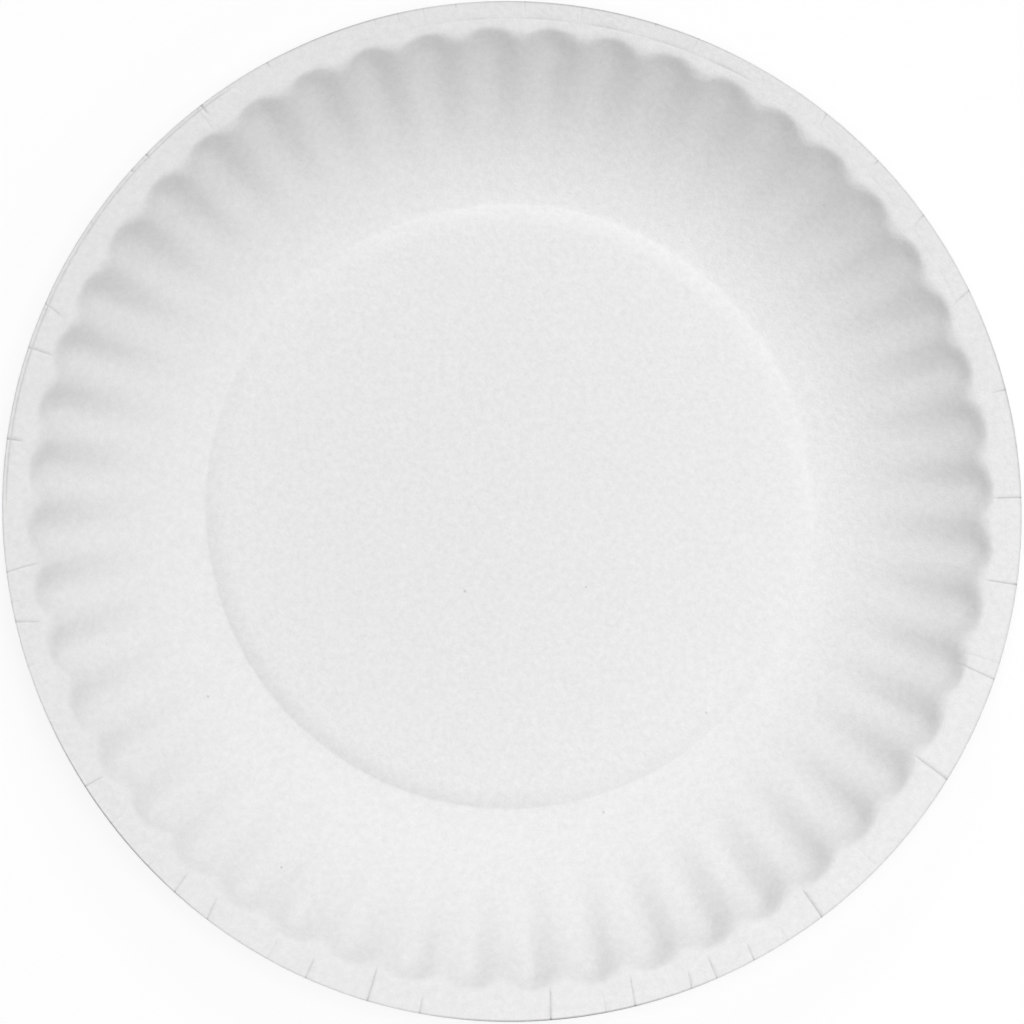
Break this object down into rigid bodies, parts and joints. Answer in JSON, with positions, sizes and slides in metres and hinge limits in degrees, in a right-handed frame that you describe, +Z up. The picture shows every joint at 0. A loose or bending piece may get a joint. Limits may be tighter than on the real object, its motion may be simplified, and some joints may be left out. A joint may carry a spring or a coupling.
{
  "type": "paper plate",
  "caption": "Round pressed paper plate with a raised flat floor, a fluted sloping wall and a narrow level rim.",
  "frame": {"origin": "centre of the ring that the plate stands on, at the table", "axes": "+Z up through the middle of the plate, +X through the tip of one flute"},
  "size_m": [0.2286, 0.2286, 0.02],
  "materials": {
    "board": "matt uncoated white board"
  },
  "bodies": {
    "root": {"plate": "board"}
  },
  "joints": []
}
